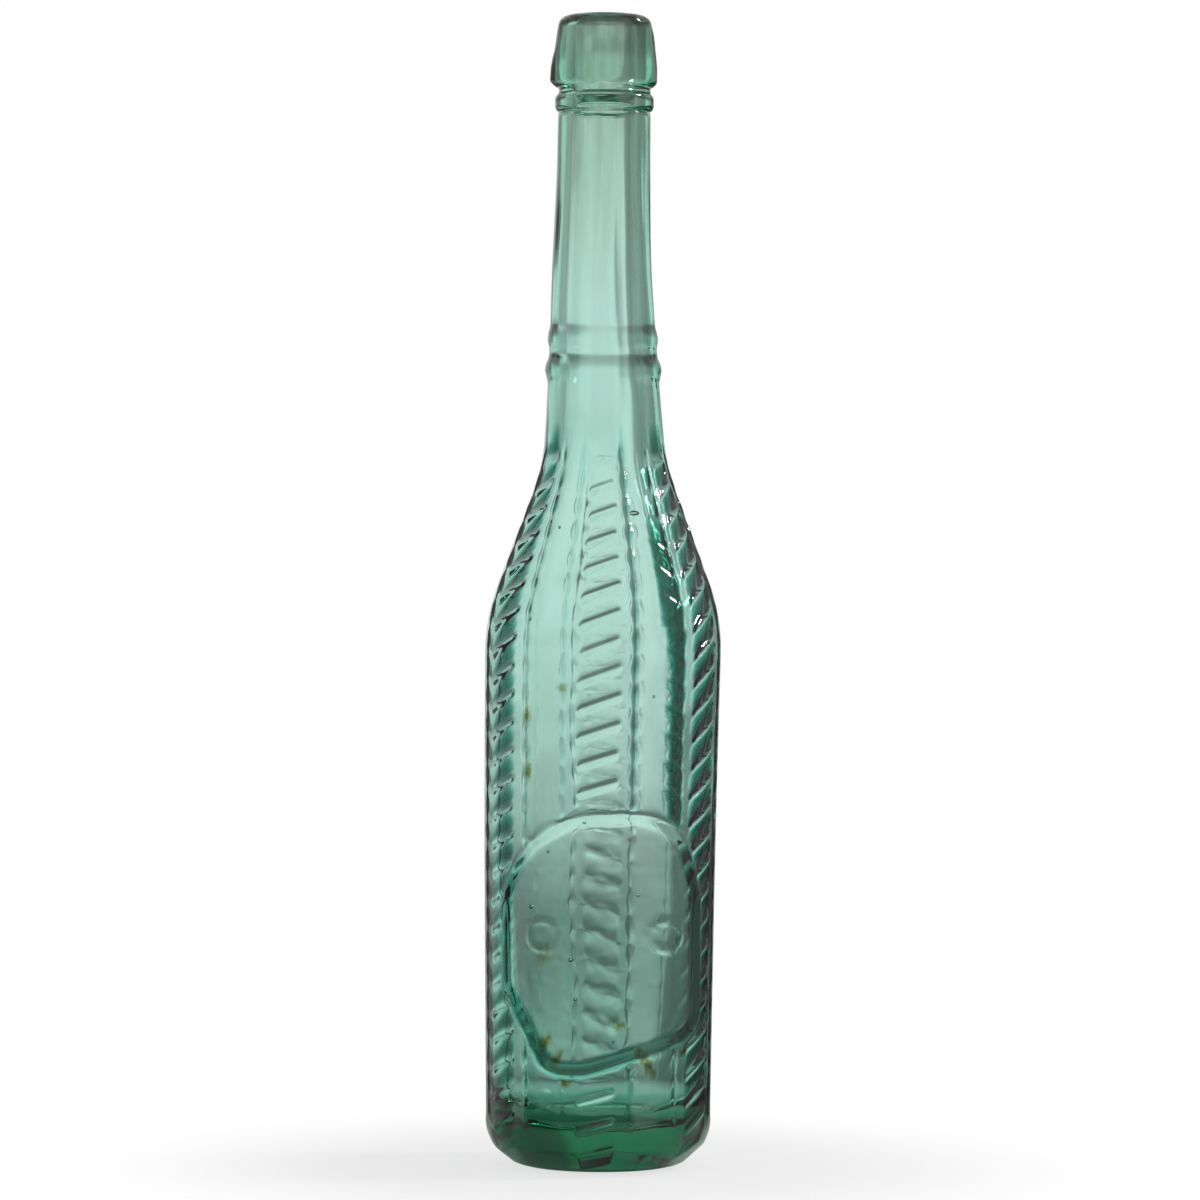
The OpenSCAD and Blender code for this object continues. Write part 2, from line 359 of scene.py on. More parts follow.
def wall_place(along):
    """Radius, height and slope of the outer wall at a length along it from the resting ring."""
    if along < heel_len:
        turned = -math.pi / 2 + along / HEEL_ROUND
        return (*polar((rest_r, HEEL_ROUND), HEEL_ROUND, turned), turned)
    along -= heel_len
    if along < wall_len:
        return HEEL_R + along * math.sin(lean), HEEL_ROUND + along * math.cos(lean), -lean
    along -= wall_len
    if along < low_len:
        turned = -lean + along / SHOULDER_ROUND
        return (*polar(outside.low, SHOULDER_ROUND, turned), turned)
    along -= low_len
    if along < slope_len:
        share = along / slope_len
        radius = outside.start[0] + (outside.end[0] - outside.start[0]) * share
        height = outside.start[1] + (outside.end[1] - outside.start[1]) * share
        return radius, height, outside.slope
    along -= slope_len
    turned = outside.slope - along / THROAT_ROUND
    return (*polar(outside.high, -THROAT_ROUND, turned), turned)


def wall_radius(height):
    return HEEL_R + (height - HEEL_ROUND) * math.tan(lean)


def wall_thickness(height):
    """The body's wall is even above and grows heavier towards the base."""
    return LOW_WALL + (BODY_WALL - LOW_WALL) * fade(height, HEAVY_Z, THIN_Z)


def neck_radius(height):
    return NECK_TOP_R + (NECK_FOOT_R - NECK_TOP_R) * (max(0, COLLAR_Z - height) / flare_h) ** FLARE_POWER


# ---------------------------------------------------------------- modelling by hand
def deselect():
    if bpy.context.mode != "OBJECT":
        bpy.ops.object.mode_set(mode="OBJECT")
    bpy.ops.object.select_all(action="DESELECT")


def plain(points, fused=0.0):
    """Outline rows without the mould's relief, as (radius, height, length along the wall, fused)."""
    return [(radius, height, PLAIN_WALL, fused) for radius, height in points]


def spun(name, rows, steps, closed=False):
    """A circle pulled to the outline, turned once round the Z axis, with poles and seam closed."""
    deselect()
    bpy.ops.mesh.primitive_circle_add(vertices=len(rows), radius=1)
    piece = bpy.context.object
    piece.name = name
    mesh = piece.data
    for vertex, row in zip(mesh.vertices, rows):
        vertex.co = (row[0], 0, row[1])
    for label, place in (("along", 2), ("fused", 3)):
        layer = mesh.attributes.new(label, "FLOAT", "POINT")
        layer.data.foreach_set("value", [row[place] for row in rows])
    if not closed:
        for part in (mesh.vertices, mesh.edges):
            part.foreach_set("select", [False] * len(part))
        last = len(rows) - 1
        for edge in mesh.edges:
            edge.select = set(edge.vertices) == {0, last}
    bpy.ops.object.mode_set(mode="EDIT")
    if not closed:
        bpy.ops.mesh.select_mode(type="EDGE")
        bpy.ops.mesh.delete(type="EDGE")
        bpy.ops.mesh.select_mode(type="VERT")
    bpy.ops.mesh.select_all(action="SELECT")
    bpy.ops.mesh.spin(steps=steps, angle=math.tau, center=(0, 0, 0), axis=(0, 0, 1))
    close_seams()
    bpy.ops.object.mode_set(mode="OBJECT")
    if closed:
        face_outward(piece)
    return piece


def face_outward(piece):
    """Turns all faces over if they look into the glass."""
    solid = bmesh.new()
    solid.from_mesh(piece.data)
    inside_out = solid.calc_volume(signed=True) < 0
    solid.free()
    if inside_out:
        bpy.ops.object.mode_set(mode="EDIT")
        bpy.ops.mesh.select_all(action="SELECT")
        bpy.ops.mesh.flip_normals()
        bpy.ops.object.mode_set(mode="OBJECT")


def close_seams():
    bpy.ops.mesh.select_all(action="SELECT")
    bpy.ops.mesh.remove_doubles(threshold=MERGE_GAP)
    bpy.ops.mesh.normals_make_consistent(inside=False)


def bridged(name, shell, hollow):
    """Two open shells joined at their rims into one closed wall."""
    deselect()
    hollow.select_set(True)
    shell.select_set(True)
    bpy.context.view_layer.objects.active = shell
    bpy.ops.object.join()
    shell.name = name
    bpy.ops.object.mode_set(mode="EDIT")
    bpy.ops.mesh.select_all(action="DESELECT")
    bpy.ops.mesh.select_non_manifold()
    bpy.ops.mesh.bridge_edge_loops()
    bpy.ops.mesh.select_all(action="SELECT")
    bpy.ops.mesh.normals_make_consistent(inside=False)
    bpy.ops.object.mode_set(mode="OBJECT")
    face_outward(shell)
    return shell


def finished(piece, node, material):
    """Gives a piece the bottle's crook, metres, smooth shading, its glass and its place in the part."""
    for vertex in piece.data.vertices:
        vertex.co.x += crook(vertex.co.z)
    piece.data.transform(Matrix.Scale(MM, 4))
    deselect()
    piece.select_set(True)
    bpy.context.view_layer.objects.active = piece
    bpy.ops.object.shade_smooth()
    piece.data.materials.append(material)
    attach(piece, "root")
    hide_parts(node)


# ---------------------------------------------------------------- relief of the mould
def sector_stops():
    """Angles of the mesh columns in half a sector, closer together at rib ends and ridges."""
    stops = [0.0]
    for end, count in COLUMN_SPREAD:
        start = stops[-1]
        stops += [start + (math.radians(end) - start) * (i + 1) / count for i in range(count)]
    return stops


half_stops = sector_stops()
sector_columns = 2 * (len(half_stops) - 1)
sector_angle = math.tau / COLUMNS
turn_table = [-stop for stop in reversed(half_stops[1:])] + half_stops


def rib_moods(seed):
    """Strength, sideways shift and length of every rib, each cut a little differently."""
    draw = random.Random(seed)
    return [[(draw.uniform(0.75, 1.1), draw.uniform(-0.2, 0.2), draw.uniform(0.85, 1.0))
             for _ in range(rib_count)] for _ in range(COLUMNS)]


rib_mood = rib_moods(seed=7)


def plate_circles():
    """Circles whose hull is the plate's outline, as (across, height, radius)."""
    crown = PLATE_W / 2
    rounds = (
        (0, PLATE_H - crown, crown),
        (crown - 14, PLATE_H - 12.4, 12.4),
        (crown - 7.8, 13.8, 7.8),
        (9 - crown, 21.5, 9),
        (14 - crown, 6.8, 6.8),
        (17.5 - crown, 8, 8),
    )
    return [(PLATE_SHIFT + across, PLATE_FOOT_Z + up, radius) for across, up, radius in rounds]


def plate_tangents(count=90):
    """Straight lines that touch the plate's outline all round, as (across, up, distance)."""
    lines = []
    for i in range(count):
        turn = math.tau * i / count
        across, up = math.cos(turn), math.sin(turn)
        lines.append((across, up, max(x * across + z * up + r for x, z, r in plate_circles())))
    return lines


plate_lines = plate_tangents()


def outside_plate(across, height, facing):
    """Distance from the plate's outline, negative inside it, and how far that side of it faces up."""
    distance, side, up = max((across * a + height * u - far, a, u) for a, u, far in plate_lines)
    return distance / math.hypot(side * facing, up), up


def slant_at(column, level):
    """The ribs slant more on the shoulder than lower down, and more in the side columns."""
    steeper = (HIGH_SLANT - LOW_SLANT) * fade(level, STEEPER_FROM, STEEPER_TO)
    return LOW_SLANT + steeper + COLUMN_SLANT[column]


def above_hollow(level):
    """How far a length along the wall is above the middle of the hollow between two ribs."""
    return (((level - RIB_FOOT) / RIB_PITCH - SCALLOP_DROP) % 1 - 0.5) * RIB_PITCH


def rib_height(column, turn, level, radius, height):
    """Rise of a slanted rib with round ends, steep below and sloping off above."""
    index = round((level - RIB_FOOT) / RIB_PITCH)
    if not 0 <= index < rib_count:
        return 0
    strength, shift, length = rib_mood[column][index]
    slant = math.cos(slant_at(column, level))
    across = (level - RIB_FOOT - index * RIB_PITCH) * slant
    half = (radius * math.sin(RIB_HALF_SPAN) - RIB_END_W) / slant * length
    past = max(0, abs(radius * turn / slant + shift) - half)
    strength *= COLUMN_STRENGTH[column]
    if index > rib_count - TOP_RIBS:
        strength *= TOP_RIB_RISE + TOP_RIB_STEP * (rib_count - index)
    if column == FRONT_COLUMN and index in BOLD_RIBS:
        strength *= BOLD_RISE
    if column == BACK_COLUMN:
        worn = BACK_RISE + BACK_LOW_RISE * (1 - fade(height, BACK_LOW_Z, BACK_HIGH_Z))
        worn *= BACK_EVEN + BACK_WEAR.at(level, radius * turn, 7)
        return worn * strength * hump(math.hypot(across / BACK_HALF_W, past / BACK_END_W), 1)
    width = RIB_UP_W if across > 0 else RIB_DOWN_W
    crest = hump(math.hypot(across / width, past / RIB_END_W), 1)
    return RIB_RISE * strength * min(1, RIB_FLAT * crest)


def scallop(column, turn, level, radius):
    """One in the middle of the hollow between two ribs, nought at its lens-shaped edge."""
    if COLUMN_SCALLOP[column] == 0 or level < RIB_FOOT:
        return 0
    slant = math.cos(slant_at(column, level))
    across = above_hollow(level) * slant
    half = radius * math.sin(RIB_HALF_SPAN) / slant + SCALLOP_REACH
    if column == LEFT_COLUMN:
        turn += LEFT_LENS_TURN
        half *= LEFT_LENS_SPAN
    along = abs(radius * turn / slant) / half
    narrowed = 1 - max(0, along - LENS_FULL) ** 2 / LENS_TAPER
    lens = SCALLOP_HALF_W * narrowed * slant / math.cos(LOW_SLANT)
    if along > 1 or abs(across) > lens:
        return 0
    return min(1, LENS_FLAT * hump(across, lens)) * (1 - fade(along, LENS_END, 1))


def ridge_height(column, turn, along, radius, height):
    """Rise of a column's two border ridges: a wandering line of long beads, worn here and there."""
    if height < RIDGE_START_Z:
        return 0
    total = 0
    for side in (-1, 1):
        wobble = RIDGE_WANDER.at(along, column * 3.1, side * 5.0)
        distance = radius * (turn - side * RIDGE_ANGLE) + wobble
        bead = abs(math.cos(math.pi * (along + wobble * BEAD_DRIFT) / RIB_PITCH))
        worn = RIDGE_EVEN + RIDGE_WEAR.at(along, column * 1.7, side * 9.0)
        if column == FRONT_COLUMN:
            worn *= FRONT_RIGHT_RIDGE if side > 0 else FRONT_LEFT_RIDGE
        beaded = BEAD_LOW + BEAD_HIGH * bead
        total += worn * beaded * hump(distance, RIDGE_HALF_W * (BEAD_W + BEAD_W * bead))
    return RIDGE_RISE * COLUMN_RIDGE[column] * total * fade(height, RIDGE_START_Z, RIDGE_FOOT_Z)


def flute_depth(turn, height):
    """Depth of the shallow flute between two columns, round at its foot and run out below the neck."""
    distance = abs(abs(turn) - sector_angle / 2)
    half = sector_angle / 2 - RIDGE_ANGLE - FLUTE_MARGIN
    rounded = math.hypot(distance, max(0, FLUTE_FOOT_Z + FLUTE_FOOT_H - height) * half / FLUTE_FOOT_ROUND)
    return FLUTE_DEPTH * hump(rounded, half) * (1 - fade(height, foot_z - FLUTE_FADE, foot_z))


def shade_streak(column, turn, along, height):
    """One in the streak of painted shade beside the right column, wider on the shoulder; its edges wander.
    """
    if column != RIGHT_COLUMN:
        return 0
    wander = STREAK_WANDER.at(along, 4, 1) + STREAK_EDGE * math.cos(math.tau * along / RIB_PITCH)
    wide = STREAK_WIDER * fade(height, *STREAK_WIDE_Z)
    distance = abs(math.degrees(turn) - STREAK_TURN + wide - STREAK_EDGE * wander)
    half = STREAK_HALF + wide
    within = 1 - fade(distance, half - STREAK_SOFT[0], half + STREAK_SOFT[1])
    return within * (1 - fade(height, *STREAK_TOP_Z)) * fade(height, *STREAK_Z)


def pin_height(across, height):
    """Rise of the two round marks that pins left in the plate."""
    total = 0
    for side, strength in ((-1, LEFT_PIN), (1, RIGHT_PIN)):
        centre_x = PLATE_SHIFT + PIN_SHIFT + side * PIN_GAP / 2
        distance = math.hypot(across - centre_x, height - PLATE_FOOT_Z - PIN_Z) - PIN_R
        total += hump(distance, PIN_LINE) * strength
    return PIN_RISE * total


def deep_colour(column, turn, level, radius, lens, streak_shade, ridge):
    """Shade painted in the hollows and in the streak, and the front ridges coloured darker."""
    deep = max(lens * COLUMN_SHADE[column], streak_shade)
    if column == LEFT_COLUMN:
        deep *= fade(radius * turn - LEFT_SHADE_SLANT * above_hollow(level), *LEFT_SHADE_EDGE)
    if column == FRONT_COLUMN:
        deep = max(deep, RIDGE_DARKER * ridge / RIDGE_RISE)
    return deep


def with_plate(pattern, deep, across, height, facing):
    """The plate's sunk face and raised rim take the place of the pattern, with painted shade round them."""
    distance, up = outside_plate(across, height, max(PLATE_EDGE_ON, facing))
    gentle = PLATE_SIDE_SHARE + PLATE_FRONT_SHARE * fade(facing, *PLATE_FACING)
    clear = fade(distance, 0, PLATE_CLEAR)
    pattern *= clear
    pattern += PLATE_SKIN.at(across, height, 11) * (1 - fade(distance, *PLATE_SKIN_EDGE))
    pattern -= PLATE_SINK * gentle * (1 - fade(distance, -RIM_W / 2 - PLATE_SLOPE_W, -RIM_W / 2))
    pattern += RIM_RISE * gentle * hump(distance + RIM_W / 2, RIM_HALF_W)
    if distance < 0:
        pattern += pin_height(across, height)
    # a band of painted shade round the plate, left off at its top
    plate_shade = PLATE_SHADE * hump(distance + RIM_W, PLATE_SHADE_W) * (1 - fade(up, *PLATE_LOWER))
    return pattern, max(deep * clear, plate_shade)


def relief(column, turn, angle, level, along, radius, height):
    """How far the moulded wall stands out at a place on it, and how much darker its colour is painted
    there.

    Along is the place's own length along the wall, and level is the same with the ribs' slant taken out.
    """
    lens = scallop(column, turn, level, radius)
    streak_shade = shade_streak(column, turn, along, height)
    ridge = ridge_height(column, turn, along, radius, height)
    shallow = COLUMN_SCALLOP[column] * (LOW_LENS + HIGH_LENS * fade(level, LENS_LOW_Z, LENS_HIGH_Z))
    pattern = rib_height(column, turn, level, radius, height) - SCALLOP_DEPTH * lens * shallow
    pattern += ridge
    pattern -= flute_depth(turn, height)
    pattern *= 1 - fade(along, body_len - TOP_FADE, body_len - 1)
    if column == BACK_COLUMN:
        beside = fade(abs(turn), RIB_HALF_SPAN, RIB_HALF_SPAN * 1.2)
        pattern += BACK_GRAIN.at(along, radius * turn, 3) * (1 - beside)
    # the streak has a faint ripple in the wall, and its darker colour is painted shade
    ripple = math.sin(math.tau * (along + STREAK_SLANT * math.degrees(turn)) / STREAK_PITCH)
    pattern += STREAK_RISE * streak_shade * ripple
    deep = deep_colour(column, turn, level, radius, lens, streak_shade, ridge)
    if math.sin(angle) <= 0 and height <= PLATE_FOOT_Z + PLATE_H + PLATE_MARGIN:
        pattern, deep = with_plate(pattern, deep, radius * math.cos(angle), height, -math.sin(angle))
    # the heel's colour is painted darker towards the bottom
    heel = HEEL_DARKER - HEEL_DARKER * fade(height, HEEL_DARKER_Z, HEEL_DARKER_Z + HEEL_DARKER_H)
    return pattern, max(deep, heel)


# ---------------------------------------------------------------- what the blower's hand left
# crooks of the axis, as (sideways drift, height of its middle, reach up and down)
CROOKS = ((0.62, 138, 44), (-0.4, 197, 24))

# swells of the neck, as (rise, waves round, length, place in the noise), eased off at both its ends
NECK_SWELLS = ((0.16, 1.9, 19, (3, 1)), (0.07, 6.5, 34, (7, 2)))
NECK_EASE_FOOT = 8
NECK_EASE_TOP = (4, 0.6)

# swells of the inner wall, as (rise, size, how much longer upright), and its upright streaks
INNER_SWELLS = ((0.28, 17, 1.6), (0.12, 7, 1.4))
INNER_STREAK = 0.16
INNER_STREAK_WAVES = 2.6
INNER_STREAK_H = 60
BORE_EVEN = 0.45
BORE_EASE = (-10, 12)
MOUTH_EVEN_H = 4
FLOOR_EVEN_H = 12

# swells of the lip, as (rise, waves round), none on the faces that touch the neck
LIP_SWELLS = ((0.2, 1.7), (0.08, 5.0))
LIP_SWELL_H = 9
LIP_RIM_H = 4
LIP_SEAT_W = 0.1

# rust and dried residue, as (across, height, half width, half height, lean, strength)
STAINS = (
    (-11.9, 28.7, 1.6, 3.2, 0.6, 0.9),
    (-9.0, 25.5, 1.5, 2.6, 0.5, 0.9),
    (-7.1, 20.3, 1.3, 1.2, 0.0, 1.6),
    (4.5, 32.6, 1.9, 0.8, -0.2, 1.0),
    (9.2, 26.6, 1.3, 1.4, -0.5, 2.6),
    (10.8, 23.8, 1.0, 2.8, -0.5, 2.8),
    (-16.4, 99.6, 0.8, 2.4, 0.0, 0.9),
    (-15.8, 87.7, 0.8, 2.6, 0.0, 0.9),
    (-8.6, 106.0, 1.6, 0.8, 0.3, 0.6),
    (-12.0, 48.0, 2.6, 4.0, 0.3, 0.35),
    (18.6, 26.6, 1.0, 0.9, 0.0, 2.2),
)

# gas seeds in the front wall, as (across, height, half width, half height); on the shoulder the way
# along the wall grows longer than the height
SEED_DEPTH = 2.0
SEED_LONGER = 1.5
SEED_LONGER_Z = (126, 150)
SEEDS = (
    (6.05, 143.6, 1.3, 0.6),
    (-6.05, 46.9, 0.5, 0.5),
    (-5.0, 38.4, 0.4, 0.42),
    (-9.5, 140.4, 0.34, 0.4),
    (-14.5, 58.1, 0.5, 0.5),
    (8.2, 61.0, 0.36, 0.4),
    (12.4, 55.5, 0.3, 0.36),
    (-11.0, 70.2, 0.4, 0.3),
    (3.1, 29.4, 0.34, 0.4),
    (-15.5, 120.5, 0.36, 0.44),
    (10.8, 104.0, 0.3, 0.4),
    (-3.4, 76.8, 0.4, 0.28),
    (14.6, 88.0, 0.3, 0.4),
)


def crook(height):
    """The bottle isn't quite straight: sideways drift of its axis at a height."""
    return sum(drift * math.exp(-((height - middle) / reach) ** 2) for drift, middle, reach in CROOKS)


def neck_change(angle, height):
    """The neck was drawn out by hand: long shallow streaks and swells, and rings worn front and back."""
    below, above = [COLLAR_Z - reach for reach in NECK_EASE_TOP]
    ease = fade(height, foot_z, foot_z + NECK_EASE_FOOT) * (1 - fade(height, below, above))
    ring = Vector((math.cos(angle), math.sin(angle), 0))
    swells = sum(rise * noise.noise(ring * waves + Vector((*start, height / length)))
                 for rise, waves, length, start in NECK_SWELLS)
    return ease * swells - RING_WORN * ring_rise(height) * abs(math.sin(angle)) ** 2


def inner_change(place):
    """The inner wall is only as even as the blower left it, and its heel and mouth are the most even."""
    slow = sum(rise * noise.noise(Vector((place.x / size, place.y / size, place.z / (size * stretch))))
               for rise, size, stretch in INNER_SWELLS)
    angle = math.atan2(place.y, place.x)
    round_x, round_y = math.cos(angle) * INNER_STREAK_WAVES, math.sin(angle) * INNER_STREAK_WAVES
    streaks = INNER_STREAK * noise.noise(Vector((round_x, round_y, place.z / INNER_STREAK_H)))
    ease = 1 - BORE_EVEN * fade(place.z, bore_z + BORE_EASE[0], bore_z + BORE_EASE[1])
    ease *= 1 - fade(place.z, COLLAR_Z - MOUTH_EVEN_H, LIP_Z + MOUTH_EVEN_H)
    return (slow + streaks) * ease * fade(place.z, floor_z, floor_z + FLOOR_EVEN_H)


def stain_at(across, height):
    """How dark the rust and dried residue are at a place on the front."""
    total = 0
    for x, z, half_w, half_h, lean_over, strength in STAINS:
        up = (height - z) / half_h
        beside = (across - x - lean_over * (height - z)) / half_w
        total += strength * hump(math.hypot(beside, up), 1)
    return total


# ---------------------------------------------------------------- the blown bottle
SHELL_STEPS = sector_columns * COLUMNS


def base_outline():
    """The dished underside and the ring that the bottle rests on."""
    dish_r = rest_r - REST_W
    ball_r = (dish_r ** 2 + DISH_RISE ** 2) / (2 * DISH_RISE)
    steps = [dish_r * i / 9 for i in range(10)]
    points = [(radius, DISH_RISE - ball_r + math.sqrt(ball_r ** 2 - radius ** 2)) for radius in steps]
    return points + [(dish_r + REST_EASE, REST_LIFT), (rest_r - REST_EDGE, 0)]


def wall_rows():
    """Lengths along the wall at which the mesh has a row: close together on each rib."""
    rows = list(HEEL_ROWS)
    for rib in range(rib_count):
        rows += [RIB_FOOT + rib * RIB_PITCH + stop for stop in ROW_STOPS]
    return [row for row in rows if row < body_len]


def neck_heights():
    """Heights of the neck's rows, closer together on its two rings."""
    heights = []
    height = foot_z
    while height < COLLAR_Z - 1:
        ringed = foot_z + LOW_RING_Z - 3 < height < foot_z + LOW_RING_Z + RING_GAP + 3
        height += RING_ROW if ringed else NECK_ROW
        heights.append(min(height, COLLAR_Z))
    return heights


def ring_rise(height):
    """The neck's two rings, steeper below than above."""
    total = 0
    for rise, middle in ((LOW_RING_RISE, LOW_RING_Z), (HIGH_RING_RISE, LOW_RING_Z + RING_GAP)):
        distance = height - foot_z - middle
        total += rise * hump(distance, RING_HALF * (RING_ABOVE if distance > 0 else RING_BELOW))
    return total


def cavity_outline():
    """From the mouth down the bore, the throat and the body to the middle of the floor."""
    corner = (HEEL_R - LOW_WALL - CAVITY_ROUND, floor_z + CAVITY_ROUND)
    mouth, bore_foot, throat = (BORE_R, SPOUT_TOP), (BORE_R, bore_z), (THROAT_R, foot_z)
    points = [mouth] + line(mouth, bore_foot, 14) + [bore_foot] + line(bore_foot, throat, 20)
    points += arc(inside.high, THROAT_ROUND, math.pi + foot_lean, math.pi + inside.slope, 9)
    points += line(inside.end, inside.start, 8)
    points += arc(inside.low, SHOULDER_ROUND - BODY_WALL, inside.slope, -lean, 7)
    wall_top, wall_foot = points[-1][1], corner[1]
    heights = [wall_top - (wall_top - wall_foot) * i / 34 for i in range(1, 34)]
    points += [(wall_radius(height) - wall_thickness(height), height) for height in heights]
    points += arc(corner, CAVITY_ROUND, -lean, -math.pi / 2, 8)
    return points + [(corner[0] * (1 - i / 6), floor_z) for i in range(1, 7)]


def sheared_end():
    """The neck's end, on which the lip is laid: its seat, a step in, and up to the mouth."""
    seat = [(NECK_TOP_R, LIP_Z), (NECK_TOP_R, SPOUT_Z), (SPOUT_R, SPOUT_Z)]
    rim = [(SPOUT_R, SPOUT_TOP - SPOUT_BEVEL), (SPOUT_R - SPOUT_BEVEL, SPOUT_TOP)]
    return seat + rim + [(BORE_R + SPOUT_GAP, SPOUT_TOP)]


def neck_end():
    """The bed of the collar ring, the groove under the lip and the sheared end inside the lip."""
    seat_r, bed_r = NECK_TOP_R - SEAT_GAP, NECK_TOP_R - COLLAR_BED
    bed = [(seat_r, COLLAR_Z), (bed_r, COLLAR_Z), (bed_r, COLLAR_TOP_Z), (seat_r, COLLAR_TOP_Z)]
    groove = [(NECK_TOP_R, COLLAR_TOP_Z), (NECK_TOP_R - GROOVE, (COLLAR_TOP_Z + LIP_Z) / 2)]
    return plain(bed, 1.0) + plain(groove + [(NECK_TOP_R, LIP_Z - SEAT_GAP)]) + plain(sheared_end(), 1.0)


def column_turn(number):
    """Sector, angle from the sector's middle, and direction of a mesh column."""
    sector, column = divmod(number, sector_columns)
    turn = turn_table[column]
    shift = COLUMN_SHIFT[sector] * (1 - fade(abs(turn), SHIFT_EDGE, sector_angle / 2))
    return sector, turn, sector * sector_angle - math.pi / 2 + turn + shift


def row_slide(column, turn, along, radius):
    """How far a row climbs at a turn: along the ribs in a column, and back down between columns."""
    if abs(turn) > RIB_HALF_SPAN:
        back = (sector_angle / 2 - abs(turn)) / (sector_angle / 2 - RIB_HALF_SPAN)
        turn = math.copysign(RIB_HALF_SPAN * back, turn)
    return math.tan(slant_at(column, along)) * radius * turn


def shape_wall(piece):
    """Moves the plain wall out to the mould's relief, along rows that follow the ribs, and shapes the neck.

    Two attributes keep how much darker the glass colour is painted and how dark the stains are.
    """
    columns = sector_columns * COLUMNS
    first = PATTERN_TURN - math.pi / 2 - sector_angle / 2
    for label in ("deep", "stain"):
        piece.data.attributes.new(label, "FLOAT", "POINT")
    lengths, deep, stain = [piece.data.attributes[label].data for label in ("along", "deep", "stain")]
    for vertex in piece.data.vertices:
        place = vertex.co
        radius = math.hypot(place.x, place.y)
        number = round((math.atan2(place.y, place.x) - first) / math.tau * columns) % columns
        sector, turn, face = column_turn(number)
        angle = face + PATTERN_TURN
        along = lengths[vertex.index].value
        if along < 0:
            radius += neck_change(angle, place.z)
            vertex.co = (radius * math.cos(angle), radius * math.sin(angle), place.z)
            continue
        slide = fade(along, SLIDE_FOOT, RIB_FOOT) * (1 - fade(along, body_len - SLIDE_FADE, body_len - 1))
        moved = along + slide * row_slide(sector, turn, along, radius)
        out, height, slope = wall_place(moved)
        rise, deep[vertex.index].value = relief(sector, turn, face, along, moved, out, height)
        out += rise * math.cos(slope)
        height += rise * math.sin(slope)
        vertex.co = (out * math.cos(angle), out * math.sin(angle), height)
        if math.sin(angle) < 0:
            stain[vertex.index].value = stain_at(vertex.co.x, height)


def shape_hollow(piece):
    """Makes the inner wall as uneven as it was blown, except at its poles."""
    lengths = piece.data.attributes["along"].data
    for vertex in piece.data.vertices:
        place = vertex.co
        radius = math.hypot(place.x, place.y)
        if lengths[vertex.index].value == HOLLOW_WALL and radius >= 1:
            change = inner_change(place)
            place.x *= 1 + change / radius
            place.y *= 1 + change / radius


def add_seeds(piece):
    """Gas seeds: small closed voids inside the wall, their faces turned to the void."""
    for x, z, half_w, half_h in SEEDS:
        along = heel_len + z - HEEL_ROUND + SEED_LONGER * fade(z, *SEED_LONGER_Z)
        depth = wall_place(min(body_len, along))[0] - SEED_DEPTH
        bpy.ops.mesh.primitive_uv_sphere_add(segments=14, ring_count=8, radius=1)
        seed = bpy.context.object
        turned = Matrix.Rotation(math.asin(x / depth), 4, "Z") @ Matrix.Translation((0, -depth, z))
        seed.data.transform(turned @ Matrix.Diagonal((half_w, min(half_w, half_h), half_h, 1)))
        bpy.ops.object.mode_set(mode="EDIT")
        bpy.ops.mesh.select_all(action="SELECT")
        bpy.ops.mesh.flip_normals()
        bpy.ops.object.mode_set(mode="OBJECT")
        piece.select_set(True)
        bpy.context.view_layer.objects.active = piece
        bpy.ops.object.join()
        deselect()


def blown_bottle():
    """The blown bottle: one closed wall from the dish over the body and neck, and down inside it."""
    rows = plain(base_outline())
    rows += [(*wall_place(along)[:2], along, 0.0) for along in wall_rows()]
    rows += plain([(neck_radius(height) + ring_rise(height), height) for height in neck_heights()])
    rows += neck_end()
    shell = spun("blown_bottle_glass", rows, SHELL_STEPS)
    cavity = [(radius, height, HOLLOW_WALL, 0.0) for radius, height in cavity_outline()]
    hollow = spun("hollow", cavity, SHELL_STEPS // 3)
    shape_wall(shell)
    piece = bridged("blown_bottle_glass", shell, hollow)
    shape_hollow(piece)
    deselect()
    add_seeds(piece)
    return piece


# ---------------------------------------------------------------- the collar and the lip
def collar_ring():
    """The string of glass laid round the neck, round outside and flat where it lies in its bed."""
    seat_r, bed_r = NECK_TOP_R - SEAT_GAP, NECK_TOP_R - COLLAR_BED
    round_r = COLLAR_R - COLLAR_ROUND
    outline = arc((round_r, COLLAR_Z + COLLAR_ROUND), COLLAR_ROUND, -math.pi / 2, 0, 7)
    outline += arc((round_r, COLLAR_TOP_Z - COLLAR_ROUND), COLLAR_ROUND, 0, math.pi / 2, 7)
    rows = plain([(NECK_TOP_R, COLLAR_Z)] + outline + [(NECK_TOP_R, COLLAR_TOP_Z)])
    rows += plain([(seat_r, COLLAR_TOP_Z), (bed_r, COLLAR_TOP_Z - BED_GAP)], 1.0)
    rows += plain([(bed_r, COLLAR_Z + BED_GAP), (seat_r, COLLAR_Z)], 1.0)
    return spun("collar_string", rows, BAND_STEPS, closed=True)


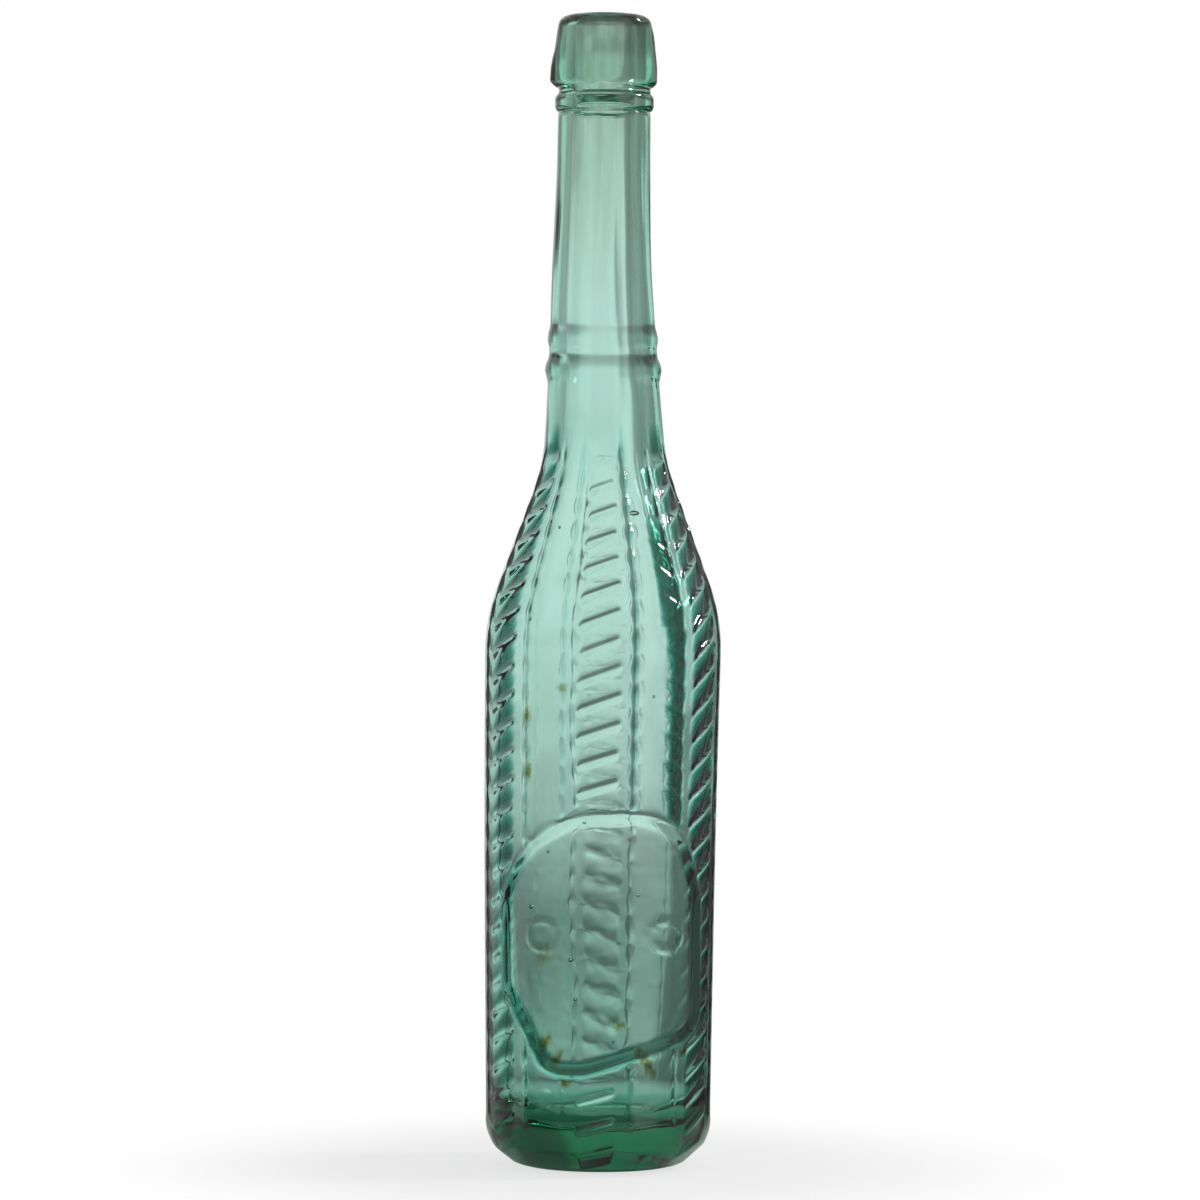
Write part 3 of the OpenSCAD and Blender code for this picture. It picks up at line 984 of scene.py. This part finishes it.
def lip_outline():
    """The lip from its foot up over the belly, in along the taper and over the rim to the mouth."""
    outline = [(NECK_TOP_R + SEAT_GAP, LIP_Z)]
    foot = (LIP_BELLY_R - LIP_LOW_ROUND, LIP_Z + LIP_LOW_ROUND)
    outline += arc(foot, LIP_LOW_ROUND, -math.pi / 2, 0, 8)
    outline += [(LIP_BELLY_R - inward, LIP_Z + up) for inward, up in BELLY_POINTS]
    for i in range(4):
        outline.append((LIP_BELLY_R - BELLY_EASE - TAPER_W * i / 4, LIP_Z + BELLY_H + TAPER_H * i / 4))
    rim = (LIP_TOP_R - LIP_TOP_ROUND, TOP_Z - LIP_TOP_ROUND)
    outline += arc(rim, LIP_TOP_ROUND, LIP_TOP_LEAN, math.pi / 2, 10)
    mouth = [(BORE_R + MOUTH_FLAT, TOP_Z), (BORE_R + MOUTH_EASE_W, TOP_Z - MOUTH_EASE_H)]
    return outline + mouth + [(BORE_R, SPOUT_TOP)]


def shape_lip(piece):
    """The lip was laid on hot and turned with a tool: a little uneven, with a run of glass at its foot."""
    for vertex in piece.data.vertices:
        place = vertex.co
        radius = math.hypot(place.x, place.y)
        if radius < NECK_TOP_R + LIP_SEAT_W and place.z < TOP_Z - LIP_RIM_H:
            continue
        ring = Vector((place.x / radius, place.y / radius, place.z / LIP_SWELL_H))
        change = sum(rise * noise.noise(ring * waves) for rise, waves in LIP_SWELLS)
        change *= fade(radius, BORE_R + 0.4, BORE_R + 2.4) * fade(place.z, LIP_Z, LIP_Z + 1.5)
        beside = radius * math.remainder(math.atan2(place.y, place.x) - DRIP_TURN, math.tau)
        up = place.z - LIP_Z
        if radius > NECK_TOP_R:
            drip = DRIP_RISE * hump(beside, DRIP_HALF_W)
            change += drip * fade(up, 0.1, 1.4) * (1 - fade(up, 4, DRIP_H))
        place.x *= 1 + change / radius
        place.y *= 1 + change / radius


def applied_lip():
    """The band of glass laid round the sheared end of the neck."""
    rows = plain(lip_outline()) + plain(reversed(sheared_end()), 1.0)
    piece = spun("lip_band", rows, BAND_STEPS, closed=True)
    shape_lip(piece)
    return piece


# ---------------------------------------------------------------- glass
AQUA = (0.1, 0.73, 0.56, 1)
AQUA_DENSITY = 110
GLASS_IOR = 1.52
# colour of the shade painted into the glass, also used for the darker heel
SHADE_TINT = (0.0003, 0.032, 0.017, 1)
RUST_TINT = (0.2, 0.11, 0.012, 1)
RUST_GRAIN = 900
FILM_TINT = (0.62, 0.59, 0.52, 1)
FILM_GRAIN = (260, 260, 26)
FILM_LEAST = 0.22
FILM_MORE = 0.75

# metres above the table
FILM_FOOT_Z = 0.19
FILM_TOP_Z = 0.25


def add(tree, kind, inputs=None, **settings):
    """A shader node with its settings, its own values and the sockets that feed it."""
    node = tree.nodes.new("ShaderNode" + kind)
    for name, value in settings.items():
        setattr(node, name, value)
    for socket, value in (inputs or {}).items():
        if isinstance(value, bpy.types.NodeSocket):
            tree.links.new(value, node.inputs[socket])
        else:
            node.inputs[socket].default_value = value
    return node


def tint(tree, colour, amount):
    """A colour that deepens with its amount as dyed glass does with its thickness."""
    return add(tree, "Gamma", {"Color": colour, "Gamma": amount}).outputs["Color"]


def times(tree, first, second):
    """One colour seen through another."""
    return add(tree, "VectorMath", {0: first, 1: second}, operation="MULTIPLY").outputs[0]


def rust(tree, place):
    """Rust brown where the stain attribute is set, broken up by fine grain."""
    stain = add(tree, "Attribute", attribute_name="stain")
    grain = add(tree, "TexNoise", {"Vector": place, "Scale": RUST_GRAIN, "Detail": 3})
    patchy = add(tree, "MapRange", {"Value": grain.outputs["Fac"], "From Min": 0.35, "From Max": 0.6,
                                    "To Min": 0.35, "To Max": 1.3})
    amount = add(tree, "Math", {0: stain.outputs["Fac"], 1: patchy.outputs["Result"]}, operation="MULTIPLY")
    return tint(tree, RUST_TINT, amount.outputs[0])


def film(tree, place):
    """The dull film of age in the neck, in long upright streaks, growing towards the lip."""
    drawn = add(tree, "Mapping", {"Vector": place, "Scale": FILM_GRAIN})
    streaks = add(tree, "TexNoise", {"Vector": drawn.outputs["Vector"], "Scale": 1, "Detail": 4})
    uneven = add(tree, "MapRange", {"Value": streaks.outputs["Fac"], "From Min": 0.42, "From Max": 0.68})
    up = add(tree, "SeparateXYZ", {"Vector": place}).outputs["Z"]
    reach = add(tree, "MapRange", {"Value": up, "From Min": FILM_FOOT_Z, "From Max": FILM_TOP_Z,
                                   "To Min": 0.1, "To Max": 1.0})
    amount = add(tree, "Math", {0: uneven.outputs["Result"], 1: FILM_MORE, 2: FILM_LEAST},
                 operation="MULTIPLY_ADD")
    amount = add(tree, "Math", {0: amount.outputs[0], 1: reach.outputs["Result"]}, operation="MULTIPLY")
    return tint(tree, FILM_TINT, amount.outputs[0])


def aqua_glass():
    """Aqua glass, dyed all through, painted shade where marked, stained and filmed; fused joints don't
    show.
    """
    material = bpy.data.materials.new("old_aqua_glass")
    material.use_nodes = True
    tree = material.node_tree
    tree.nodes.clear()
    place = add(tree, "TexCoord").outputs["Object"]
    deep = add(tree, "Attribute", attribute_name="deep").outputs["Fac"]
    base = times(tree, tint(tree, SHADE_TINT, deep), times(tree, rust(tree, place), film(tree, place)))
    clear = add(tree, "BsdfPrincipled", {"Base Color": base, "Roughness": 0.0, "IOR": GLASS_IOR,
                                         "Transmission Weight": 1.0})
    joint = add(tree, "BsdfTransparent")
    fused = add(tree, "Attribute", attribute_name="fused").outputs["Fac"]
    surface = add(tree, "MixShader", {0: fused, 1: clear.outputs["BSDF"], 2: joint.outputs["BSDF"]})
    dye = add(tree, "VolumeAbsorption", {"Color": AQUA, "Density": AQUA_DENSITY})
    add(tree, "OutputMaterial", {"Surface": surface.outputs["Shader"], "Volume": dye.outputs["Volume"]})
    return material


# ---------------------------------------------------------------- room, light and camera, in metres
CAMERA_FAR = 1.05
CAMERA_Z = 0.12485
CAMERA_X = -0.0003
LENS = 142.3
ROLL = math.radians(-0.37)

FLOOR_R = 0.12
FLOOR_DROP = 0.0002
FLOOR_FADE = (0.35, 0.98)
PAPER = (0.5, 0.5, 0.5, 1)
PAPER_LIFT = 0.72
PAPER_IN_GLASS = 0.1
ROOM_LEVEL = 0.75
CEILING_LEVEL = 0.85
BOUNCES = 32

# grey levels of the room as glass shows it: the table's shade over the height of the view, from -1 to 1,
# and the table's side and the cards, level and low, over the bearing in degrees
TABLE_SHADE = ((-0.5, 0.16), (-0.17, 0.25), (-0.122, 0.38), (-0.1, 0.46), (-0.038, 0.71), (-0.02, 0.87),
               (0.01, 1.0), (0.5, 1.0))
TABLE_SIDE = ((-40, 0), (-22, 1), (60, 1), (80, 0))
LEVEL_CARDS = ((-180, 0.15), (-118, 0.15), (-104, 0.3), (-98, 1), (-82, 1), (-74, 0.35), (-60, 0.45),
               (-40, 0.5), (-28, 0.75), (-16, 0.9), (-8, 1), (7, 1), (14, 0.4), (26, 0.3), (44, 0.35),
               (80, 0.5), (112, 0.5), (128, 1), (143, 1), (152, 0.15))
LOW_FROM = -0.12
LOW_TO = -0.24
CEILING_FROM = 0.2
CEILING_TO = 0.6
LOW_CARDS = ((-180, 0.25), (-80, 0.3), (-66, 0.9), (-22, 0.9), (-10, 0.6), (20, 0.6), (40, 0.3), (100, 0.3),
             (115, 0.9), (155, 0.9), (170, 0.25))


def ramp(tree, source, stops, low, high, ease="EASE"):
    """A curve of grey levels over a value between low and high, as (value, level) stops."""
    share = add(tree, "MapRange", {"Value": source, "From Min": low, "From Max": high})
    curve = add(tree, "ValToRGB", {"Fac": share.outputs["Result"]})
    curve.color_ramp.interpolation = ease
    elements = curve.color_ramp.elements
    while len(elements) > 1:
        elements.remove(elements[0])
    for number, (value, level) in enumerate(stops):
        position = (value - low) / (high - low)
        stop = elements[0] if number == 0 else elements.new(position)
        stop.position = position
        stop.color = (level, level, level, 1)
    return curve.outputs["Color"]


def seen_in_glass(tree, path):
    """One where a ray comes by a reflection or through glass."""
    rays = {0: path.outputs["Is Glossy Ray"], 1: path.outputs["Is Transmission Ray"]}
    return add(tree, "Math", rays, operation="ADD", use_clamp=True).outputs[0]


def world():
    """A white studio; glass shows it with grey cards round about and a table's shade below."""
    room = bpy.data.worlds.new("studio")
    bpy.context.scene.world = room
    room.use_nodes = True
    tree = room.node_tree
    tree.nodes.clear()
    place = add(tree, "TexCoord")
    parts = add(tree, "SeparateXYZ", {"Vector": place.outputs["Generated"]})
    up = parts.outputs["Z"]
    bearing = add(tree, "Math", {0: parts.outputs["X"], 1: parts.outputs["Y"]}, operation="ARCTAN2")
    degrees = add(tree, "Math", {0: bearing.outputs["Value"]}, operation="DEGREES").outputs["Value"]
    table = ramp(tree, up, TABLE_SHADE, -1, 1, "LINEAR")
    shaded = add(tree, "Mix", {0: ramp(tree, degrees, TABLE_SIDE, -180, 180), 2: 1.0, 3: table})
    level_cards = ramp(tree, degrees, LEVEL_CARDS, -180, 180)
    low_cards = ramp(tree, degrees, LOW_CARDS, -180, 180)
    sinking = add(tree, "MapRange", {"Value": up, "From Min": LOW_FROM, "From Max": LOW_TO})
    rising = add(tree, "MapRange", {"Value": up, "From Min": CEILING_FROM, "From Max": CEILING_TO})
    lower = add(tree, "Mix", {0: sinking.outputs["Result"], 2: level_cards, 3: low_cards})
    cards = add(tree, "Mix", {0: rising.outputs["Result"], 2: lower.outputs[0], 3: CEILING_LEVEL})
    pattern = add(tree, "Math", {0: shaded.outputs[0], 1: cards.outputs[0]}, operation="MULTIPLY")
    path = add(tree, "LightPath")
    room_light = add(tree, "Background", {"Color": (1, 1, 1, 1), "Strength": ROOM_LEVEL})
    white = add(tree, "Background", {"Color": (1, 1, 1, 1), "Strength": 1.0})
    field = add(tree, "Background", {"Color": pattern.outputs["Value"], "Strength": 1.0})
    in_glass = seen_in_glass(tree, path)
    around = add(tree, "MixShader", {0: in_glass, 1: room_light.outputs[0], 2: field.outputs[0]})
    straight = path.outputs["Is Camera Ray"]
    seen = add(tree, "MixShader", {0: straight, 1: around.outputs[0], 2: white.outputs[0]})
    add(tree, "OutputWorld", {"Surface": seen.outputs[0]})


def paper():
    """Pale paper, lifted to the white of the room, that fades out at the floor's edge."""
    material = bpy.data.materials.new("pale_paper")
    material.use_nodes = True
    tree = material.node_tree
    tree.nodes.clear()
    path = add(tree, "LightPath")
    glass_lift = add(tree, "Math", {0: seen_in_glass(tree, path), 1: PAPER_IN_GLASS}, operation="MULTIPLY")
    lift = add(tree, "Math", {0: path.outputs["Is Camera Ray"], 1: PAPER_LIFT, 2: glass_lift.outputs[0]},
               operation="MULTIPLY_ADD")
    grey = add(tree, "BsdfDiffuse", {"Color": PAPER})
    white = add(tree, "Emission", {"Strength": 1.0})
    lifted = add(tree, "MixShader", {0: lift.outputs[0], 1: grey.outputs[0], 2: white.outputs[0]})
    place = add(tree, "TexCoord")
    away = add(tree, "VectorMath", {0: place.outputs["Object"]}, operation="LENGTH")
    edge = add(tree, "MapRange", {"Value": away.outputs["Value"], "From Min": FLOOR_R * FLOOR_FADE[0],
                                  "From Max": FLOOR_R * FLOOR_FADE[1]}, interpolation_type="SMOOTHSTEP")
    gone = add(tree, "BsdfTransparent")
    faded = add(tree, "MixShader", {0: edge.outputs["Result"], 1: lifted.outputs[0], 2: gone.outputs[0]})
    add(tree, "OutputMaterial", {"Surface": faded.outputs[0]})
    return material


def floor():
    """A round of pale paper just under the bottle."""
    deselect()
    bpy.ops.mesh.primitive_circle_add(vertices=96, radius=FLOOR_R, fill_type="NGON",
                                      location=(0, 0, -FLOOR_DROP))
    ground = bpy.context.object
    ground.name = "pale_floor"
    ground.data.materials.append(paper())


def lamp(name, place, target, width, height, power):
    data = bpy.data.lights.new(name, "AREA")
    data.shape = "RECTANGLE"
    data.size, data.size_y = width, height
    data.energy = power
    light = bpy.data.objects.new(name, data)
    bpy.context.scene.collection.objects.link(light)
    light.location = place
    light.rotation_euler = (Vector(target) - Vector(place)).to_track_quat("-Z", "Y").to_euler()


def camera():
    """Level with the bottle's middle, straight in front, turned a little about its own axis."""
    data = bpy.data.cameras.new("camera")
    data.sensor_width = 36
    data.lens = LENS
    data.clip_start, data.clip_end = 0.01, 20
    eye = bpy.data.objects.new("camera", data)
    bpy.context.scene.collection.objects.link(eye)
    eye.location = (CAMERA_X, -CAMERA_FAR, CAMERA_Z)
    eye.rotation_mode = "QUATERNION"
    level = Matrix.Rotation(math.pi / 2, 4, "X")
    eye.rotation_quaternion = (Matrix.Rotation(ROLL, 4, "Y") @ level).to_quaternion()
    bpy.context.scene.camera = eye


old_glass = aqua_glass()
finished(blown_bottle(), "blown_bottle", old_glass)
finished(collar_ring(), "collar_ring", old_glass)
finished(applied_lip(), "applied_lip", old_glass)

world()
floor()
lamp("key", place=(0.85, 0.1, 0.7), target=(0, 0, 0.12), width=0.16, height=0.2, power=6)
camera()
bpy.context.scene.view_settings.view_transform = "Standard"
bpy.context.scene.cycles.max_bounces = BOUNCES
bpy.context.scene.cycles.transmission_bounces = BOUNCES
bpy.context.scene.cycles.transparent_max_bounces = BOUNCES
